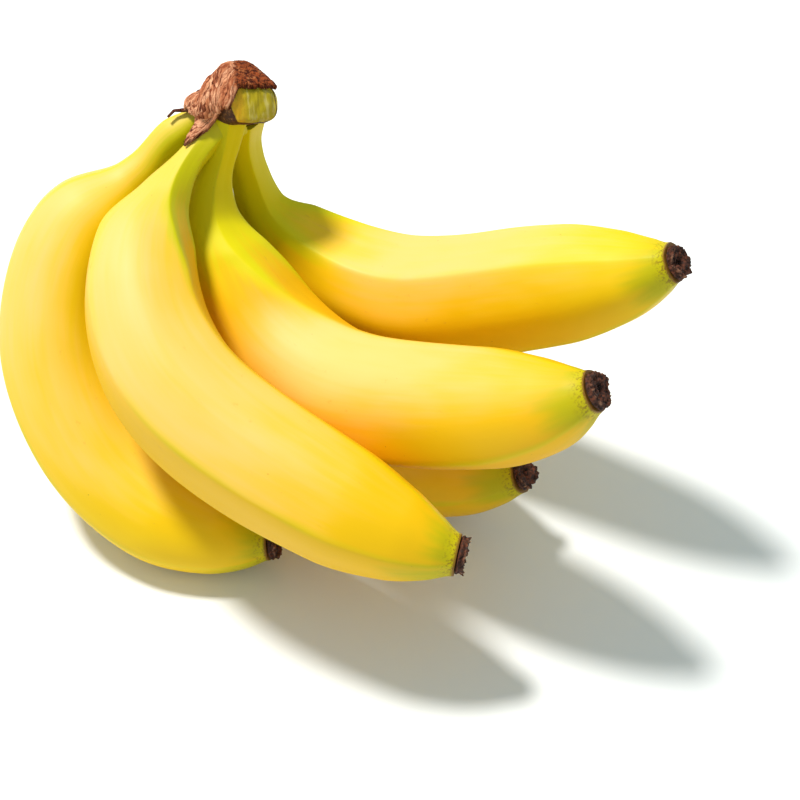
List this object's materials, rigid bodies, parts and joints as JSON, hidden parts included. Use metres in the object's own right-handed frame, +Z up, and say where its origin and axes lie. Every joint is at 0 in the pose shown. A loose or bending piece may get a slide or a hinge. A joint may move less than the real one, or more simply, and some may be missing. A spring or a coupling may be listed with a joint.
{
  "type": "bunch of bananas",
  "caption": "Hand of ripe curved bananas grown from a woody crown with a dry brown husk, lying on its side; fresh fruit.",
  "frame": {"origin": "centre of the bottom of the bunch's bounding box, on the surface it lies on", "axes": "+Z up from the surface it lies on; +X towards the flower ends of the upper fruits; +Y towards the crown"},
  "size_m": [0.1988, 0.1409, 0.1245],
  "materials": {
    "yellow_peel": "satin waxy ripe peel",
    "green_crown": "fresh cut fibrous crown",
    "dry_husk": "dry fibrous skin",
    "dried_flower_end": "dried, wrinkled, near black"
  },
  "bodies": {
    "root": {"finger_1": "yellow_peel", "finger_2": "yellow_peel", "finger_3": "yellow_peel", "finger_4": "yellow_peel", "finger_5": "yellow_peel", "tip_1": "dried_flower_end", "tip_2": "dried_flower_end", "tip_3": "dried_flower_end", "tip_4": "dried_flower_end", "tip_5": "dried_flower_end", "crown": "green_crown", "crown_husk": "dry_husk"}
  },
  "joints": []
}
